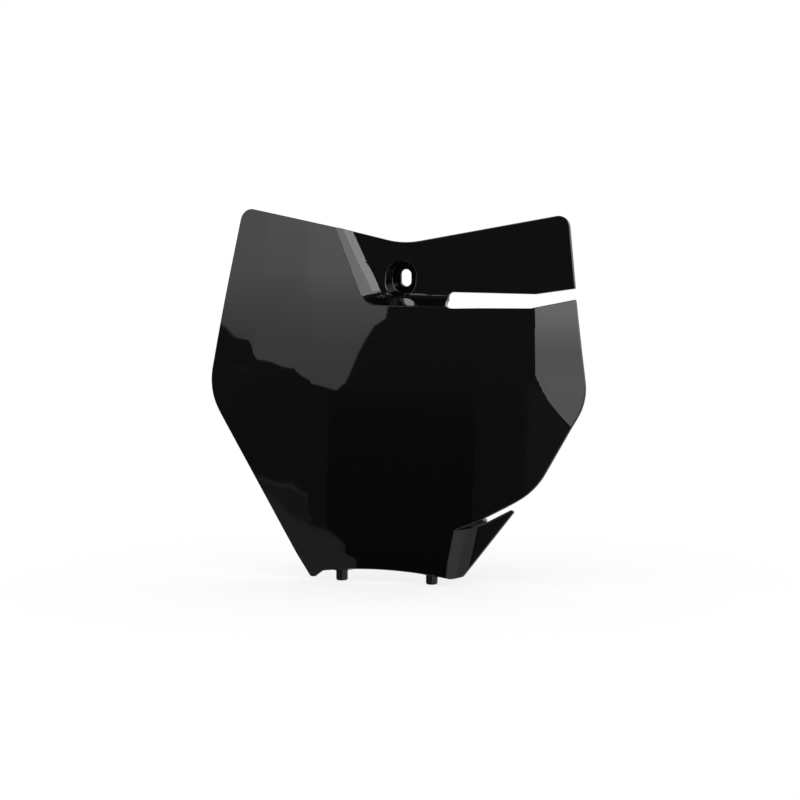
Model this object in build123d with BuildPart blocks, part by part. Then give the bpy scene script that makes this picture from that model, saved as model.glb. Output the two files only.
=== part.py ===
import math
import os

from build123d import *

# Racing number board: one gloss moulding, millimetres, X across, Z up, its face towards -Y.
# The origin is the middle of the seat that the upper screw's head bears on.

# Skin
wall = 2.4

# Side line of the face: a lower lean, a long arc and an upper lean
side_bend_z = -90.0
side_bend_y = -36.3
side_low_lean = 3.2
side_top_lean = 10.0
side_radius = 800.0

# Plan line of the face: a crowned middle and a swept panel on each side
crown_half = 53.0
crown_radius = 1800.0
crease_radius = 75.0
panel_sweep = 11.0

# Facet on each outer flank: it rises in an arc from a faint crossing crease, and falls flat below it
facet_x = 97.9
facet_z = -58.2
facet_sweep = 15.3
facet_high_lean = 5.5
facet_low_lean = 7.0
facet_radius = 800.0

# Lip along the bottom, bent back
lip_z = -175.4
lip_lean = 4.0
lip_round = 30.0

# The mould opens along a line that leans back from level, so the outline and the slots are cut along it
draw_lean = 10.0

# Outline, seen along the draw
horn_x = 111.3
horn_z = 42.6
horn_round = 8.0
valley_z = 21.0
valley_round = 50.0
widest_left_x = 131.0
widest_right_x = 129.4
widest_z = -77.0
widest_round = 38.0
foot_x = 51.6
foot_z = -196.2
foot_width = 3.0
foot_round = 2.0
lip_end_x = 43.0
lip_left_z = -192.2
lip_mid_z = -190.0
lip_right_z = -193.9
flank_end_x = 98.3
flank_end_z = -135.3
flank_end_round = 48.0
ear_tip_x = 83.8
ear_tip_z = -144.4
ear_tip_round = 1.2
ear_end_x = 49.2
ear_end_z = -191.5

# Stepped band across the top, set back for the hose
band_front = 10.24
band_draft = 25.0
step_foot_x = -13.0
step_tilt = 25.6
ledge_foot_z = -13.6
ledge_rise = 4.0
step_corner_round = 6.0
band_root_round = 4.0

# Hose slot between the band and the panel below it
slot_left = 33.6
slot_bend_x = 92.0
slot_low_z = -21.9
slot_low_bend_z = -19.5
slot_low_rise = 14.5
slot_high_z = -9.6
slot_high_rise = 9.0
slot_high_round = 3.0
slot_low_round = 8.0

# Screw pocket in the band, with an upright slot through its floor
pocket_width = 19.0
pocket_height = 21.0
pocket_round = 8.5
pocket_draft = 4.0
screw_slot_width = 7.0
screw_slot_length = 11.0

# Ear at the lower right, set back behind the hose, with one slanted wall and one along the draw
ear_x = 53.8
ear_y = -26.2
ear_z = -157.7
ear_turn = 12.0
ear_lean = 3.0
ear_draft = 37.0
ear_wall_tilt = 12.5
ear_root_round = 9.8
ear_rise = 22.6
ear_corner_round = 2.0

# Slot above the ear, where the wall along the draw is left out
ear_slot_x = 63.5
ear_slot_z = -155.9
ear_slot_gap = 0.2

# Locating pegs under the lip, each on a shoulder behind the skin with a flat seat below and a rib above
peg_x = 30.8
peg_y = -36.2
peg_diameter = 7.6
peg_end_z = -194.2
peg_length = 14.0
peg_chamfer = 0.8
peg_seat_diameter = 10.4
peg_seat_left_z = -186.5
peg_seat_right_z = -187.9
shoulder_width = 11.0
shoulder_back = 5.6
shoulder_top_z = -177.0
rib_width = 2.4
rib_top_z = -155.0


def tan(angle):
    return math.tan(math.radians(angle))


# Lengths that carry any cut clear of the board
reach = widest_left_x + wall * 8
low_z = foot_z - wall * 8
high_z = horn_z + wall * 8
draw = Plane((0, 0, 0), x_dir=(1, 0, 0), z_dir=(0, -1, tan(draw_lean)))
ear = Plane((ear_x, ear_y, ear_z), x_dir=(1, tan(ear_turn), 0), z_dir=(tan(ear_turn), -1, tan(ear_lean)))


def floor_faces(part, plane):
    """Faces of a part that lie in a plane and look its way."""
    return part.faces().filter_by(
        lambda face: face.geom_type == GeomType.PLANE
        and face.normal_at().dot(plane.z_dir) > 0.9999
        and abs(plane.to_local_coords(face.center()).Z) < 0.01
    )


def wall_faces(part, plane, draft):
    """Drafted walls that rise from a flat floor."""
    floors = floor_faces(part, plane)
    return part.faces().filter_by(
        lambda face: abs(face.normal_at().dot(plane.z_dir) - math.sin(math.radians(draft))) < 0.01
        and any(face.distance_to(floor) < 0.01 for floor in floors)
    )


def shared_edges(some, others):
    """Edges along which two groups of faces meet."""
    return ShapeList(edge for edge in some.edges() if any(edge.is_same(other) for other in others.edges()))


def outline_sketch():
    """The board's outline with its hose slot, well behind the face and looking forward along the draw."""
    with BuildSketch(draw.offset(-reach)) as outline:
        with BuildLine():
            lip_edge = ThreePointArc((lip_end_x, lip_right_z), (0, lip_mid_z), (-lip_end_x, lip_left_z))
            Polyline(
                lip_edge @ 1,
                (-foot_x + foot_width, foot_z),
                (-foot_x, foot_z),
                (-widest_left_x, widest_z),
                (-horn_x, horn_z),
                (0, valley_z),
                (horn_x, horn_z),
                (widest_right_x, widest_z),
                (flank_end_x, flank_end_z),
                (ear_tip_x, ear_tip_z),
                (ear_end_x, ear_end_z),
                lip_edge @ 0,
            )
        make_face()
        fillet(outline.vertices().group_by(Axis.Y)[-1], horn_round)
        fillet(outline.vertices().sort_by_distance((0, valley_z))[0], valley_round)
        fillet(outline.vertices().group_by(Axis.X)[0], widest_round)
        fillet(outline.vertices().group_by(Axis.X)[-1], widest_round)
        fillet(outline.vertices().group_by(Axis.Y)[0], foot_round)
        with BuildSketch(mode=Mode.SUBTRACT) as hose_slot:
            with BuildLine():
                run = widest_right_x - slot_bend_x
                Polyline(
                    (slot_left, slot_high_z),
                    (slot_bend_x, slot_high_z),
                    (widest_right_x, slot_high_z + run * tan(slot_high_rise)),
                    (widest_right_x, slot_low_bend_z + run * tan(slot_low_rise)),
                    (slot_bend_x, slot_low_bend_z),
                    (slot_left, slot_low_z),
                    close=True,
                )
            make_face()
            fillet(hose_slot.vertices().sort_by_distance((slot_left, slot_high_z))[0], slot_high_round)
            fillet(hose_slot.vertices().sort_by_distance((slot_left, slot_low_z))[0], slot_low_round)
        fillet(outline.vertices().sort_by_distance((flank_end_x, flank_end_z))[0], flank_end_round)
    return outline.sketch


def band_sketch(setback):
    """The foot of the stepped band's walls, for its face or for its back."""
    with BuildSketch(draw.offset(band_front - setback)) as foot:
        with BuildLine():
            bend_x = slot_left + slot_high_round
            Polyline(
                (step_foot_x - reach * tan(step_tilt), ledge_foot_z + reach),
                (step_foot_x, ledge_foot_z),
                (bend_x, ledge_foot_z),
                (bend_x + reach, ledge_foot_z + reach * tan(ledge_rise)),
                (bend_x + reach, ledge_foot_z + reach),
                close=True,
            )
        make_face()
        fillet(foot.vertices().sort_by_distance((step_foot_x, ledge_foot_z))[0], step_corner_round)
        if setback:
            offset(amount=setback * tan(45 - band_draft / 2), kind=Kind.INTERSECTION)
    return foot.sketch


def ear_space(setback):
    """Space in front of the ear, for its face or for its back, where the slot leaves out the upper wall."""
    away = ear.x_dir.rotate(Axis((0, 0, 0), ear.z_dir), -ear_wall_tilt)
    with BuildPart() as space:
        with BuildSketch(Plane(ear.origin, x_dir=away, z_dir=away.cross(ear.z_dir))) as section:
            with BuildLine():
                Polyline((0, 0), (reach, 0), (reach, reach), (-reach * tan(ear_draft), reach), close=True)
            make_face()
            fillet(section.vertices().sort_by_distance((0, 0))[0], ear_root_round)
            if setback:
                offset(amount=setback)
        extrude(amount=reach, both=True)
        with BuildSketch(draw.offset(-reach)) as under:
            with BuildLine():
                slot_slope = (ear_tip_z - ear_slot_z) / (ear_tip_x - ear_slot_x)
                slot_start = [(ear_slot_x, ear_slot_z)]
                if setback:
                    slot_start = [
                        (ear_slot_x, ear_slot_z + setback),
                        (ear_slot_x, ear_slot_z - ear_slot_gap),
                    ]
                Polyline(
                    (ear_slot_x - reach, slot_start[0][1] - reach * tan(ear_rise)),
                    *slot_start,
                    (ear_slot_x + reach, slot_start[-1][1] + reach * slot_slope),
                    (ear_slot_x + reach, ear_slot_z - reach * 2),
                    (ear_slot_x - reach, ear_slot_z - reach * 2),
                    close=True,
                )
            make_face()
        extrude(amount=reach * 2, mode=Mode.INTERSECT)
        # The wall along the draw meets the floor and the slanted wall in one rounded corner
        if not setback:
            upper = space.faces().filter_by(lambda face: face.normal_at().Z > 0.5)
            upper = upper.filter_by(lambda face: abs(face.normal_at().dot(draw.z_dir)) < 0.001)
            corner = upper.edges().filter_by(lambda edge: abs((edge % 0.5).dot(draw.z_dir)) < 0.999)
            corner = corner.filter_by(lambda edge: edge.distance_to(Vertex(ear_x, ear_y, ear_z)) < reach / 4)
            fillet(corner, ear_corner_round)
    return space.part


# The face as a thick block: the plan line carried up the side line without turning
with BuildPart() as block:
    with BuildLine(Plane.YZ) as side_line:
        curl_y = side_bend_y + (lip_z - side_bend_z) * tan(side_low_lean)
        shank = Line((curl_y, lip_z), (side_bend_y, side_bend_z))
        bend = JernArc(shank @ 1, shank % 1, side_radius, side_low_lean - side_top_lean)
        curl = JernArc(shank @ 0, (shank % 0) * -1, lip_round, -lip_lean - side_low_lean)
        low_y = (curl @ 1).Y + ((curl @ 1).Z - low_z) * tan(lip_lean)
        Line((low_y, low_z), curl @ 1)
        high_y = (bend @ 1).Y + (high_z - (bend @ 1).Z) * tan(side_top_lean)
        Line(bend @ 1, (high_y, high_z))
    with BuildSketch(Plane.XY.offset(low_z)) as plan:
        with BuildLine():
            crown_y = low_y + crown_radius - math.sqrt(crown_radius**2 - crown_half**2)
            crown = ThreePointArc((-crown_half, crown_y), (0, low_y), (crown_half, crown_y))
            crown_angle = math.degrees(math.asin(crown_half / crown_radius))
            crease = JernArc(crown @ 1, crown % 1, crease_radius, panel_sweep - crown_angle)
            panel = PolarLine(
                crease @ 1,
                reach - (crease @ 1).X,
                direction=crease % 1,
                length_mode=LengthMode.HORIZONTAL,
            )
            flank = Line(panel @ 1, (reach, low_y + reach))
            mirror([crease, panel, flank], about=Plane.YZ)
            Line((-reach, low_y + reach), (reach, low_y + reach))
        make_face()
    sweep(sections=plan.sketch, path=side_line.wires()[0], normal=(0, 0, 1))
    # A facet is cut on each flank, starting from the face itself at its middle
    sight = Line((facet_x, -reach, facet_z), (facet_x, reach, facet_z), mode=Mode.PRIVATE)
    facet_y = ShapeList(block.part.intersect(sight)).vertices().sort_by(Axis.Y)[0].Y
    across = Plane(
        (facet_x, facet_y, facet_z),
        x_dir=(-tan(facet_sweep), 1, 0),
        z_dir=(1, tan(facet_sweep), 0),
    )
    with BuildSketch(across) as facet:
        with BuildLine():
            rise = JernArc((0, 0), (tan(facet_high_lean), 1), facet_radius, facet_high_lean - side_top_lean)
            top_y = (rise @ 1).X + reach * tan(side_top_lean)
            Polyline(
                rise @ 1,
                (top_y, (rise @ 1).Y + reach),
                (-reach, (rise @ 1).Y + reach),
                (-reach, -reach * 2),
                (-reach * 2 * tan(facet_low_lean), -reach * 2),
                (0, 0),
            )
        make_face()
    facet_cut = extrude(facet.sketch, amount=reach, both=True, mode=Mode.PRIVATE)
    add(facet_cut, mode=Mode.SUBTRACT)
    mirror(facet_cut, about=Plane.YZ, mode=Mode.SUBTRACT)

# The front of the board, still solid behind: outline, stepped band, ear and screw pocket
with BuildPart() as front:
    add(block.part)
    extrude(outline_sketch(), amount=reach * 2, mode=Mode.INTERSECT)
    extrude(band_sketch(0), amount=reach / 4, taper=-band_draft, mode=Mode.SUBTRACT)
    band = draw.offset(band_front)
    band_walls = wall_faces(front.part, band, band_draft)
    fillet(shared_edges(band_walls, floor_faces(front.part, band)), band_root_round)
    add(ear_space(0), mode=Mode.SUBTRACT)
    with BuildSketch(Plane.XZ) as pocket:
        RectangleRounded(pocket_width, pocket_height, pocket_round)
    extrude(amount=reach / 4, taper=-pocket_draft, mode=Mode.SUBTRACT)

# The hollow behind the skin, with the screw boss and the peg ribs left standing in it
with BuildPart() as hollow:
    add(block.part.moved(Location((0, wall, 0))))
    extrude(band_sketch(wall), amount=reach / 4, taper=-band_draft, mode=Mode.SUBTRACT)
    add(ear_space(wall), mode=Mode.SUBTRACT)
    with BuildSketch(Plane.XZ.offset(-wall)) as boss:
        grow = wall * tan(45 - pocket_draft / 2)
        RectangleRounded(pocket_width + 2 * grow, pocket_height + 2 * grow, pocket_round + grow)
    extrude(amount=reach / 4, taper=-pocket_draft, mode=Mode.SUBTRACT)
    for side in (-1, 1):
        with BuildSketch(Plane.YZ.offset(side * peg_x - shoulder_width / 2)) as shoulder:
            with BuildLine():
                back_y = peg_y + shoulder_back
                Polyline(
                    (-reach, shoulder_top_z),
                    (back_y, shoulder_top_z),
                    (back_y, low_z),
                    (-reach, low_z),
                    close=True,
                )
            make_face()
        extrude(amount=shoulder_width, mode=Mode.SUBTRACT)
        with BuildSketch(Plane.YZ.offset(side * peg_x - rib_width / 2)) as rib:
            with BuildLine():
                Polyline(
                    (-reach, rib_top_z),
                    (side_bend_y, rib_top_z),
                    (back_y, shoulder_top_z),
                    (-reach, shoulder_top_z),
                    close=True,
                )
            make_face()
        extrude(amount=rib_width, mode=Mode.SUBTRACT)

# The board: front less hollow, then the screw slot, the pegs on their seats and the ear's rounded tip
with BuildPart() as board:
    add(front.part)
    add(hollow.part, mode=Mode.SUBTRACT)
    with BuildSketch(Plane.XZ.offset(-wall * 2)) as screw_slot:
        SlotOverall(screw_slot_length, screw_slot_width, rotation=90)
    extrude(amount=wall * 4, mode=Mode.SUBTRACT)
    for side, seat_z in ((-1, peg_seat_left_z), (1, peg_seat_right_z)):
        with BuildSketch(Plane.XY.offset(low_z)) as peg_seat:
            with Locations((side * peg_x, peg_y)):
                Circle(peg_seat_diameter / 2)
        extrude(amount=seat_z - low_z, mode=Mode.SUBTRACT)
    with BuildSketch(Plane.XY.offset(peg_end_z)) as pegs:
        with Locations((-peg_x, peg_y), (peg_x, peg_y)):
            Circle(peg_diameter / 2)
    extrude(amount=peg_length)
    chamfer(board.faces().sort_by(Axis.Z)[:2].edges(), peg_chamfer)
    along_draw = board.edges().filter_by(lambda edge: abs((edge % 0.5).dot(draw.z_dir)) > 0.9999)
    ear_tips = along_draw.sort_by_distance((ear_tip_x, ear_y, ear_tip_z))[:2]
    fillet(ear_tips.sort_by(Axis.Y)[-1], ear_tip_round)

os.makedirs("parts", exist_ok=True)
board.part.label = "number_board"
export_step(board.part, "parts/number_board.step")
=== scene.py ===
import math

import bmesh
import bpy
import numpy as np
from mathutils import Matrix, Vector
from mathutils.bvhtree import BVHTree
from mathutils.geometry import barycentric_transform


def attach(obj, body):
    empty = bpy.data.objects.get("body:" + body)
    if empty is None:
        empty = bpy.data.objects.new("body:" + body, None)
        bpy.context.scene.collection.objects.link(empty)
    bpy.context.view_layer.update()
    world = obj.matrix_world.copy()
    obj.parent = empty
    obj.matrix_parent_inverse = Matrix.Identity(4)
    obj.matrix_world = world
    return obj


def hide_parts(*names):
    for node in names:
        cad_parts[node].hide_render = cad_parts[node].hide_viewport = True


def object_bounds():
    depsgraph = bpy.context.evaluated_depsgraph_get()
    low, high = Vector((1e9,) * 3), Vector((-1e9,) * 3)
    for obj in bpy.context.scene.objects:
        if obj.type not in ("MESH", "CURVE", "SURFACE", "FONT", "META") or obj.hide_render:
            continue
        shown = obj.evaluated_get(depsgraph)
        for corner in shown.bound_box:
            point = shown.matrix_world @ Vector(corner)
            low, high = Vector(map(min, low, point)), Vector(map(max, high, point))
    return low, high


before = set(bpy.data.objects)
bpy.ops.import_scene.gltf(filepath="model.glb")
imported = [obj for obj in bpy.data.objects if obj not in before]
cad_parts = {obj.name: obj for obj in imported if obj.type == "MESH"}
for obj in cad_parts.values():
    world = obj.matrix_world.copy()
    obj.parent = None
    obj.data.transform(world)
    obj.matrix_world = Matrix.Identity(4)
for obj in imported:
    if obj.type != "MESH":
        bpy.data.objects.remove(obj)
cad_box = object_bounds()
scene = bpy.context.scene
scene.view_settings.view_transform = "Standard"

# The number board: one thin polypropylene moulding, pulled straight out of a polished steel mould.
# It hangs on a screw through the pocket at its top and on two pegs under its lip.
# Its mesh is the solid's own skin in metres, with a small round on every cut edge, divided finely.
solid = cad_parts["number_board"].data
weld_gap, edge_round, longest_edge = 0.00001, 0.0006, 0.005
sharp_turn = math.radians(28)
round_mark = 1
skin = bmesh.new()
skin.from_mesh(solid)
bmesh.ops.remove_doubles(skin, verts=skin.verts, dist=weld_gap)
bmesh.ops.bevel(
    skin,
    geom=[edge for edge in skin.edges if edge.calc_face_angle() > sharp_turn],
    offset=edge_round,
    offset_type="OFFSET",
    segments=3,
    profile=0.5,
    affect="EDGES",
    clamp_overlap=False,
    material=round_mark,
)
bmesh.ops.triangulate(skin, faces=skin.faces)
for halving in range(5):
    long_edges = [edge for edge in skin.edges if edge.calc_length() > longest_edge]
    bmesh.ops.subdivide_edges(skin, edges=long_edges, cuts=1)
    bmesh.ops.triangulate(skin, faces=[side for side in skin.faces if len(side.verts) > 3])

# The step at the left of the band: the drafted wall that drops from the panel to the set-back floor, where a
# hose passes. It eases into a soft ramp towards its foot, and a row of edges is laid where the ramp begins.
# Distances along the draw, the line that the mould opens on, are in millimetres from the screw's seat.
draw_lean = math.radians(10)
draw = np.array([0, -math.cos(draw_lean), math.sin(draw_lean)])
ramp_start, step_right, wall_low_z = 15.4, -4, -18
least_right, least_forward, cut_snap = 0.6, 0.2, 0.00005
step_wall = []
for side in skin.faces:
    middle = side.calc_center_median() * 1000
    looks_right = side.normal.x > least_right and side.normal.dot(draw) > least_forward
    if looks_right and middle.x < step_right and middle.z > wall_low_z:
        step_wall += [side, *side.edges, *side.verts]
bmesh.ops.bisect_plane(
    skin,
    geom=list(dict.fromkeys(step_wall)),
    dist=cut_snap,
    plane_co=draw * ramp_start / 1000,
    plane_no=draw,
)
bmesh.ops.triangulate(skin, faces=[side for side in skin.faces if len(side.verts) > 3])
board_mesh = bpy.data.meshes.new("board")
skin.to_mesh(board_mesh)
skin.free()
board = bpy.data.objects.new("board", board_mesh)
scene.collection.objects.link(board)

# The face: a crowned shield that leans back as it rises and sweeps back at each side, as smooth as the steel
# that it was moulded on. The part's own side line and plan line are repeated here, in millimetres, so that
# what the gloss mirrors follows the true curve and not the flats of a mesh.
lip_z = -175.4


def side_line(z):
    """How far back the middle of the face lies at a height: a lip, a shank, a long arc and a top."""
    bend_z, bend_y, bend_radius = -90.0, -36.3, 800.0
    low_lean, top_lean = math.radians(3.2), math.radians(10.0)
    shank = bend_y + (z - bend_z) * math.tan(low_lean)
    turned = np.clip(math.sin(low_lean) + (z - bend_z) / bend_radius, -1, 1)
    arc = bend_y + bend_radius * (math.cos(low_lean) - np.sqrt(1 - turned**2))
    top_z = bend_z + bend_radius * (math.sin(top_lean) - math.sin(low_lean))
    top_y = bend_y + bend_radius * (math.cos(low_lean) - math.cos(top_lean))
    top = top_y + (z - top_z) * math.tan(top_lean)
    lip_lean, lip_radius = math.radians(4.0), 30.0
    lip_y = bend_y + (lip_z - bend_z) * math.tan(low_lean)
    turned = np.clip(math.sin(low_lean) + (z - lip_z) / lip_radius, -1, 1)
    curl = lip_y + lip_radius * (math.cos(low_lean) - np.sqrt(1 - turned**2))
    end_z = lip_z - lip_radius * (math.sin(lip_lean) + math.sin(low_lean))
    end_y = lip_y + lip_radius * (math.cos(low_lean) - math.cos(lip_lean))
    lip = end_y - (z - end_z) * math.tan(lip_lean)
    return np.select([z < end_z, z < lip_z, z < bend_z, z < top_z], [lip, curl, shank, arc], top)


def plan_line(x):
    """How far the face sweeps back from its middle: a crown, a rounded crease and a straight panel."""
    crown_half, crown_radius, crease_radius, sweep = 53.0, 1800.0, 75.0, math.radians(11.0)
    out = np.abs(x)
    crown = crown_radius - np.sqrt(crown_radius**2 - np.minimum(out, crown_half) ** 2)
    crown_turn = math.asin(crown_half / crown_radius)
    crown_y = crown_radius * (1 - math.cos(crown_turn))
    turned = np.clip(math.sin(crown_turn) + (out - crown_half) / crease_radius, -1, 1)
    crease = crown_y + crease_radius * (math.cos(crown_turn) - np.sqrt(1 - turned**2))
    panel_x = crown_half + crease_radius * (math.sin(sweep) - math.sin(crown_turn))
    panel_y = crown_y + crease_radius * (math.cos(crown_turn) - math.cos(sweep))
    panel = panel_y + (out - panel_x) * math.tan(sweep)
    return np.select([out < crown_half, out < panel_x], [crown, crease], panel)


def face(x, z):
    """How far back the face lies."""
    return side_line(z) + plan_line(x)


def slopes(surface, x, z):
    """Unit normals of a surface that looks forward."""
    probe = 0.02
    across = (surface(x + probe, z) - surface(x - probe, z)) / (2 * probe)
    up = (surface(x, z + probe) - surface(x, z - probe)) / (2 * probe)
    normals = np.stack([across, -np.ones_like(across), up], -1)
    return normals / np.linalg.norm(normals, axis=-1, keepdims=True)


# The flanks: a facet across each outer side, moulded in one with the face.
# It sweeps back further than the face beside it, and the two meet in a soft crease.
def flank(x, z):
    """How far back a facet lies: bowed above its middle, and straight below it."""
    middle_x, middle_z, radius, sweep = 97.9, -58.2, 800.0, math.radians(15.3)
    low_lean, high_lean, top_lean = math.radians(7.0), math.radians(5.5), math.radians(10.0)
    up = z - middle_z
    low = up * math.tan(low_lean)
    turned = np.clip(math.sin(high_lean) + up / radius, -1, 1)
    bow = radius * (math.cos(high_lean) - np.sqrt(1 - turned**2))
    top_up = radius * (math.sin(top_lean) - math.sin(high_lean))
    top_bow = radius * (math.cos(high_lean) - math.cos(top_lean))
    top = top_bow + (up - top_up) * math.tan(top_lean)
    set_back = np.select([up < 0, up < top_up], [low, bow], top)
    along = (np.abs(x) - middle_x + set_back * math.sin(sweep)) / math.cos(sweep)
    middle_y = face(np.array(middle_x), np.array(middle_z))
    return middle_y + along * math.sin(sweep) + set_back * math.cos(sweep)


# The lip: the bottom edge of the moulding, turned back a little, with the pegs under it.
# The solid's skin swells forward by about half a millimetre there, and the front of the mesh is drawn back.
lip_curl, lip_swell, front_depth, front_fade = 3.74, 0.455, 0.9, 0.6
points = np.array([vertex.co for vertex in board_mesh.vertices]) * 1000
swell = lip_swell * np.clip((lip_z - points[:, 2]) / lip_curl, 0, 1) ** 2
behind = points[:, 1] - face(points[:, 0], points[:, 2])
points[:, 1] += swell * np.clip((front_depth - behind) / front_fade, 0, 1)

# The polished skin: each corner of the mesh on the face or a flank is given the true slope there, blended
# across the crease between them. Any other corner takes the slope of the solid beside it.
on_skin, crease_half, same_way, same_side, well_inside = 0.12, 0.25, 0.97, 0.9, 0.05
corner_vertices = np.array([loop.vertex_index for loop in board_mesh.loops])
corner_points = points[corner_vertices]
flats = np.array([polygon.normal for polygon in board_mesh.polygons])
is_round = np.repeat([polygon.material_index == round_mark for polygon in board_mesh.polygons], 3)
x, y, z = corner_points.T
past_crease = np.clip((flank(x, z) - face(x, z)) / (2 * crease_half) + 0.5, 0, 1)[:, None]
past_crease = past_crease**2 * (3 - 2 * past_crease)
true_slopes = slopes(face, x, z) * (1 - past_crease) + slopes(flank, x, z) * past_crease
true_slopes /= np.linalg.norm(true_slopes, axis=1, keepdims=True)
skin_y = np.maximum(face(x, z), flank(x, z))
near_skin = (np.abs(y - skin_y) < on_skin).reshape(-1, 3).all(1)
looks_out = (true_slopes.reshape(-1, 3, 3).mean(1) * flats).sum(1) > same_way
of_face = np.repeat(near_skin & looks_out, 3) & ~is_round
corner_normals = np.where(of_face[:, None], true_slopes, np.repeat(flats, 3, axis=0))
solid_points = [vertex.co for vertex in solid.vertices]
solid_tree = BVHTree.FromPolygons(solid_points, [tuple(polygon.vertices) for polygon in solid.polygons])
solid_normals = [normal.vector for normal in solid.corner_normals]
middles = np.repeat(corner_points.reshape(-1, 3, 3).mean(1), 3, axis=0)
for corner in np.flatnonzero(~of_face & ~is_round):
    spot = Vector((corner_points[corner] * (1 - well_inside) + middles[corner] * well_inside) / 1000)
    nearest, solid_flat, index, gap = solid_tree.find_nearest(spot)
    if solid_flat @ Vector(flats[corner // 3]) > same_side:
        polygon = solid.polygons[index]
        triangle = [solid_points[vertex] for vertex in polygon.vertices]
        normals = [solid_normals[loop] for loop in polygon.loop_indices]
        corner_normals[corner] = barycentric_transform(nearest, *triangle, *normals).normalized()

# The ramp on the step: the slopes of its wall are eased from the solid's draft, and more so at its foot.
# It then mirrors the light at the side, as the real one does, and not the band's dark floor.
# Slopes are angles from the draw, for a wall that looks straight to the right.
ramp_slope, foot_slope, wall_slope = math.radians(47), math.radians(14), math.radians(66)
step_low_z, tiny = -20, 1e-6
facing = np.clip(corner_normals @ draw, -1, 1)
sideways = corner_normals - facing[:, None] * draw
sideways /= np.maximum(np.linalg.norm(sideways, axis=1, keepdims=True), tiny)
slope = np.arccos(facing)
eased = np.where(middles @ draw > ramp_start, ramp_slope, foot_slope)
steepest = wall_slope - (wall_slope - eased) * np.clip(sideways[:, 0], 0, 1) ** 2
in_step = (corner_points[:, 0] < step_right) & (corner_points[:, 2] > step_low_z)
in_step &= (slope < wall_slope) & (slope > steepest)
ramp_normals = np.cos(steepest)[:, None] * draw + np.sin(steepest)[:, None] * sideways
corner_normals = np.where(in_step[:, None], ramp_normals, corner_normals)

# The rounds on the cut edges, all round the outline, the slots, the pocket and the crests of the step.
# Each runs smoothly from the slope of the skin on one side of it to the slope on the other.
some_skin = 0.1
skin_sum = np.zeros_like(points)
np.add.at(skin_sum, corner_vertices[~is_round], corner_normals[~is_round])
round_sum = np.zeros_like(points)
np.add.at(round_sum, corner_vertices[is_round], corner_normals[is_round])
shared = np.where(np.linalg.norm(skin_sum, axis=1, keepdims=True) > some_skin, skin_sum, round_sum)
shared /= np.maximum(np.linalg.norm(shared, axis=1, keepdims=True), tiny)
corner_normals = np.where(is_round[:, None], shared[corner_vertices], corner_normals)
points[corner_vertices[of_face], 1] = skin_y[of_face]

# The band's floor beside the step: it comes forward towards the top, so that the step grows shallower there.
# The floor round the screw pocket stays where it is, since the screw's seat is fixed.
foot_x, foot_z, foot_tilt = -13.0, -15.0, math.radians(25.6)
band_depth, band_draft, top_lift, lift_height, most_lift = 10.24, math.radians(25), 5.6, 50.0, 1.2
fade_width, wall_reach, pocket_reach, pocket_fade, outline_rise, off_flank = 45.0, 14, 13, 12, 0.2, 0.01
x, y, z = points.T
beside = x - (foot_x - (z - foot_z) * math.tan(foot_tilt))
depth = np.clip((y - face(x, z)) / band_depth, 0, 1) * (flank(x, z) - face(x, z) < off_flank)
lift = top_lift * np.clip((z - foot_z) / lift_height, 0, most_lift)
faded = np.clip(beside / fade_width, 0, 1)
faded = 1 - faded**2 * (3 - 2 * faded)
clear = np.clip((np.hypot(x, z) - pocket_reach) / pocket_fade, 0, 1)
moved = lift * faded * clear * depth * (beside > -wall_reach) * (z > foot_z)
points += moved[:, None] * (draw + np.array([-math.tan(band_draft), 0, outline_rise]))
board_mesh.vertices.foreach_set("co", (points / 1000).ravel())
for polygon in board_mesh.polygons:
    polygon.material_index = 0
    polygon.use_smooth = True
board_mesh.normals_split_custom_set([tuple(normal) for normal in corner_normals])


# Polypropylene, coloured black right through and moulded against polished steel: a deep black body under
# a mirror-like skin. The moulding shrinks unevenly as it cools, so mirrored edges waver a little, and the
# steel's polish leaves a faint haze, drawn coarser than it is so that it shows.
def linear(hex_colour):
    """Linear RGBA of an sRGB hex colour."""
    parts = [int(hex_colour[i:i + 2], 16) / 255 for i in (1, 3, 5)]
    return [c / 12.92 if c <= 0.04045 else ((c + 0.055) / 1.055) ** 2.4 for c in parts] + [1.0]


def add_node(tree, kind, links=(), **settings):
    """Adds a node, sets its properties and sockets, and links (socket, output) pairs into it."""
    node = tree.nodes.new(kind)
    for name, value in settings.items():
        if hasattr(node, name):
            setattr(node, name, value)
        else:
            node.inputs[name.replace("_", " ")].default_value = value
    for socket, source in links:
        tree.links.new(source, node.inputs[socket])
    return node


shrink_width, shrink_height, haze_width = 30.0, 0.03, 1.5
least_haze, most_haze = 0.01, 0.03
plastic = bpy.data.materials.new("gloss black polypropylene")
plastic.use_nodes = True
plastic_tree = plastic.node_tree
shader = plastic_tree.nodes["Principled BSDF"]
shader.inputs["Base Color"].default_value = linear("#060606")
shader.inputs["IOR"].default_value = 1.49
coordinates = add_node(plastic_tree, "ShaderNodeTexCoord")
on_board = ("Vector", coordinates.outputs["Object"])
waves = add_node(plastic_tree, "ShaderNodeTexNoise", [on_board], Scale=1000 / shrink_width, Detail=1.0)
waves_height = ("Height", waves.outputs["Fac"])
shrink = add_node(plastic_tree, "ShaderNodeBump", [waves_height], Distance=shrink_height / 1000, Strength=1)
haze = add_node(plastic_tree, "ShaderNodeTexNoise", [on_board], Scale=1000 / haze_width, Detail=3.0)
haze_level = ("Value", haze.outputs["Fac"])
polish = add_node(plastic_tree, "ShaderNodeMapRange", [haze_level], To_Min=least_haze, To_Max=most_haze)
plastic_tree.links.new(shrink.outputs["Normal"], shader.inputs["Normal"])
plastic_tree.links.new(polish.outputs["Result"], shader.inputs["Roughness"])
board_mesh.materials.append(plastic)
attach(board, "root")
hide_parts("number_board")

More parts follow.
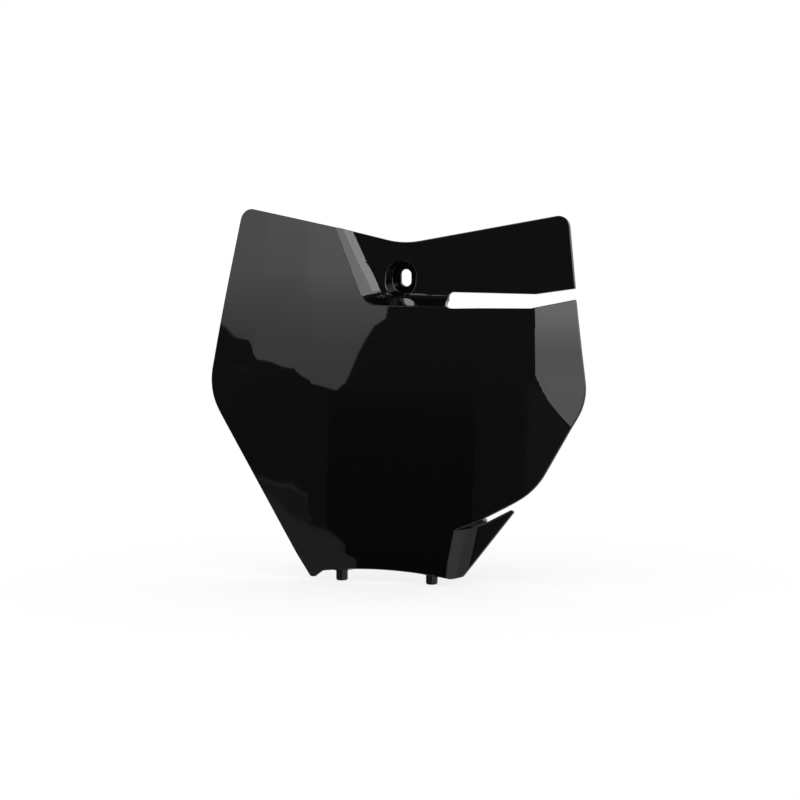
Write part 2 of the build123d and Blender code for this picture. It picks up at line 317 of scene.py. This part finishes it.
# The camera, at the photograph's viewing angle: a long lens three metres away.
# It stands round to the right of the board and a little above it.
turn, rise, distance = math.radians(20), math.radians(5.3), 3.0
aim = Vector((0, -0.0114, -0.0785))
to_camera = Vector((math.sin(turn) * math.cos(rise), -math.cos(turn) * math.cos(rise), math.sin(rise)))
camera = bpy.data.objects.new("camera", bpy.data.cameras.new("camera"))
camera.data.lens = 208.7
camera.data.sensor_width = 36
camera.data.clip_end = 100
camera.location = aim + to_camera * distance
camera.rotation_mode = "QUATERNION"
camera.rotation_quaternion = (-to_camera).to_track_quat("-Z", "Y")
scene.collection.objects.link(camera)
scene.camera = camera

# The white room round the board: bare white walls that send even light from all sides at a plain level.
# They are also the white that shows behind the board.
world = bpy.data.worlds.new("white room")
world.use_nodes = True
world.node_tree.nodes["Background"].inputs["Color"].default_value = linear("#ffffff")
world.node_tree.nodes["Background"].inputs["Strength"].default_value = 1.0
scene.world = world


# The floor that the board stands on: a sheet of pale matt paper, laid flat, that runs into the white room.
# It keeps the board's shadow close by and fades to plain white further off. Distances are in metres.
def stage_piece(name, vertices, faces, material):
    """A piece of the set, which isn't part of the board."""
    mesh = bpy.data.meshes.new(name)
    mesh.from_pydata(vertices, [], faces)
    mesh.materials.append(material)
    piece = bpy.data.objects.new(name, mesh)
    scene.collection.objects.link(piece)
    return piece


fade_start, fade_end, least_white = 0.08, 0.3, 0.72
floor_half, floor_z = 20, cad_box[0].z
paper = bpy.data.materials.new("pale paper")
paper.use_nodes = True
paper_tree = paper.node_tree
sheet = paper_tree.nodes["Principled BSDF"]
sheet.inputs["Base Color"].default_value = linear("#fafafa")
sheet.inputs["Roughness"].default_value = 1.0
sheet.inputs["Specular IOR Level"].default_value = 0.0
here = add_node(paper_tree, "ShaderNodeNewGeometry")
away = add_node(paper_tree, "ShaderNodeVectorMath", [(0, here.outputs["Position"])], operation="DISTANCE")
away.inputs[1].default_value = (0, -0.03, floor_z)
fade = add_node(
    paper_tree,
    "ShaderNodeMapRange",
    [("Value", away.outputs["Value"])],
    From_Min=fade_start,
    From_Max=fade_end,
    To_Min=least_white,
)
rays = add_node(paper_tree, "ShaderNodeLightPath")
straight_or_mirrored = [(0, rays.outputs["Is Camera Ray"]), (1, rays.outputs["Is Glossy Ray"])]
looked_at = add_node(paper_tree, "ShaderNodeMath", straight_or_mirrored, operation="MAXIMUM")
or_seen_through = [(0, looked_at.outputs[0]), (1, rays.outputs["Is Transmission Ray"])]
seen = add_node(paper_tree, "ShaderNodeMath", or_seen_through, operation="MAXIMUM")
faded_where_seen = [(0, fade.outputs["Result"]), (1, seen.outputs[0])]
whiteness = add_node(paper_tree, "ShaderNodeMath", faded_where_seen, operation="MULTIPLY")
white = add_node(paper_tree, "ShaderNodeEmission", Color=linear("#ffffff"), Strength=1.0)
paper_to_white = [(0, whiteness.outputs[0]), (1, sheet.outputs["BSDF"]), (2, white.outputs["Emission"])]
cover = add_node(paper_tree, "ShaderNodeMixShader", paper_to_white)
paper_tree.links.new(cover.outputs["Shader"], paper_tree.nodes["Material Output"].inputs["Surface"])
corners = [(-1, -1), (1, -1), (1, 1), (-1, 1)]
floor_corners = [(across * floor_half, along * floor_half, floor_z) for across, along in corners]
floor = stage_piece("floor", floor_corners, [(0, 1, 2, 3)], paper)
floor.visible_glossy = False

# The dark curtain round the front of the set, of grey cloth, which the gloss mirrors between the lamps.
# Its glow is painted light, brighter towards the top. A flag of black cloth hangs before the middle of it,
# with painted shade that darkens it towards its foot, and a paler fringe of painted light stands at the
# flag's right.
set_radius, curtain_radius, flag_radius = 5.0, 6.0, 5.5


def glow(name, stops, radius=set_radius):
    """Cloth that gives off light, from (elevation, strength) stops in degrees and times a white surface."""
    material = bpy.data.materials.new(name)
    material.use_nodes = True
    tree = material.node_tree
    tree.nodes.clear()
    heights = [aim.z + radius * math.sin(math.radians(elevation)) for elevation, strength in stops]
    low, high = heights[0], heights[-1]
    most = max(strength for elevation, strength in stops)
    here = add_node(tree, "ShaderNodeNewGeometry")
    height = add_node(tree, "ShaderNodeSeparateXYZ", [(0, here.outputs["Position"])])
    up_cloth = ("Value", height.outputs["Z"])
    level = add_node(tree, "ShaderNodeMapRange", [up_cloth], From_Min=low, From_Max=high)
    ramp = add_node(tree, "ShaderNodeValToRGB", [("Fac", level.outputs["Result"])])
    while len(ramp.color_ramp.elements) < len(stops):
        ramp.color_ramp.elements.new(0.5)
    for element, stop_height, (elevation, strength) in zip(ramp.color_ramp.elements, heights, stops):
        element.position = (stop_height - low) / (high - low)
        element.color = [strength / most] * 3 + [1.0]
    lamp = add_node(tree, "ShaderNodeEmission", [("Color", ramp.outputs["Color"])], Strength=most)
    add_node(tree, "ShaderNodeOutputMaterial", [("Surface", lamp.outputs["Emission"])])
    return material


def screen(name, columns, material, radius=set_radius):
    """A strip of a ball round the board, from (azimuth, low, high) in degrees, azimuth 0 in front."""
    rows = 12
    vertices = []
    for azimuth, low, high in columns:
        a = math.radians(azimuth)
        for row in range(rows + 1):
            e = math.radians(low + (high - low) * row / rows)
            outward = Vector((math.sin(a) * math.cos(e), -math.cos(a) * math.cos(e), math.sin(e)))
            vertices.append(aim + radius * outward)
    faces = []
    for column in range(len(columns) - 1):
        for corner in range(column * (rows + 1), column * (rows + 1) + rows):
            faces.append((corner, corner + 1, corner + rows + 2, corner + rows + 1))
    piece = stage_piece(name, vertices, faces, material)
    piece.visible_camera = False
    piece.visible_diffuse = False
    piece.visible_shadow = False
    piece.visible_transmission = False


# Painted light on the curtain and the fringe, and painted shade on the flag: each glows more strongly higher
# up.
curtain_painted_light = glow("grey curtain with painted light", [(-2, 0.06), (3, 0.07), (11, 0.09), (18, 0.09)], curtain_radius)
screen("curtain", [(azimuth, -60, 75) for azimuth in range(-150, 151, 10)], curtain_painted_light, curtain_radius)
flag_painted_shade = glow("black flag with painted shade", [(-2.2, 0.015), (0, 0.03), (2.6, 0.05), (5, 0.07), (11, 0.09)], flag_radius)
screen("flag", [(azimuth, -60, 11) for azimuth in (-23.6, -18, -12, -6)], flag_painted_shade, flag_radius)
fringe_painted_light = glow("grey fringe with painted light", [(-2, 0.1), (1, 0.14), (5, 0.14)])
screen("fringe", [(azimuth, -60, 5) for azimuth in (4.7, 8)], fringe_painted_light)

# The left soft boxes: white cloth with a lamp behind it, hung with an uneven lower edge. The wide one's edge
# is what ends the light on the board's upper left, and the left flank mirrors a weaker one beyond it.
box_top = 45
left_foot = [(-48, 5.4), (-44.38, 4.97), (-43.96, 4.61), (-43.75, 4.39), (-42, 4.24), (-35, 4.17)]
left_foot += [(-26, 4.19), (-24.3, 3.77), (-23.32, 3.23), (-22.73, 4.12), (-22.38, 5.94)]
right_end = [(-21.98, 7.67, 14.5), (-21.59, 9.18, 14.2), (-21.25, 10.38, 14.0), (-20.68, 11.18, 13.0)]
left_cloth = glow("left soft box", [(3, 0.88), (8, 1.0), (12.4, 1.4), (16.5, 2.1)])
screen("left_soft_box", [(azimuth, low, box_top) for azimuth, low in left_foot] + right_end, left_cloth)
far_foot = [(-64, 9.8), (-60, 9.5), (-54.07, 8.04), (-53.7, 7.2), (-53.4, 6.5), (-52.8, 6.3), (-50, 6.0)]
far_foot += [(-48, 5.4)]
far_cloth = glow("far left soft box", [(5, 0.65), (9, 1.05), (14.7, 1.65), (17, 1.9)])
screen("far_left_soft_box", [(azimuth, low, box_top) for azimuth, low in far_foot], far_cloth)

# The right soft box: the same cloth in a long box that curves round the side of the set.
# It lights the right flank low down, and the step from high up at the side.
right_stops = [(7, 2.1), (8.6, 2.05), (9.2, 2.3), (10, 2.35), (11.4, 2.85), (13.4, 3.4), (20, 3.8)]
right_stops += [(30, 6.0), (36.5, 5.6), (38, 3.7), (39, 3.4)]
right_cloth = glow("right soft box", right_stops)
screen("right_soft_box", [(azimuth, 5, 50) for azimuth in (8, 20, 40, 60, 80, 100, 120, 145)], right_cloth)

# Light thrown back up from the studio's floor on each side, which the lower half of the board mirrors.
# On the left it has a paler line where the floor begins, and a dimmer strip before the near floor.
line_width, floor_low, far_floor_radius = 0.06, -40, 5.2
line_top = [(-60, -1.3), (-44.07, -1.53), (-43.65, -1.6), (-34.5, -1.41), (-25.6, -1.27), (-24.6, -1.75)]
line_light = glow("floor line", [(-3, 0.34), (0, 0.34)])
screen("floor_line", [(azimuth, high - line_width, high) for azimuth, high in line_top], line_light)
far_light = glow("far floor", [(-3, 0.13), (0, 0.13)], far_floor_radius)
screen("far_floor", [(azimuth, floor_low, high) for azimuth, high in line_top], far_light, far_floor_radius)
near_top = [(-60, -1.6), (-44, -1.78), (-43.79, -1.96), (-43.48, -2.18), (-28.3, -1.88), (-24.46, -1.9)]
near_top += [(-23.37, -2.01), (-22.4, -2.24)]
near_light = glow("near floor", [(-6, 0.28), (0, 0.26)])
screen("near_floor", [(azimuth, floor_low, high) for azimuth, high in near_top], near_light)
right_light = glow("right floor", [(-20, 0.62), (0, 0.62)])
screen("right_floor", [(azimuth, -45, -2) for azimuth in (15, 40, 70, 100, 125, 150)], right_light)
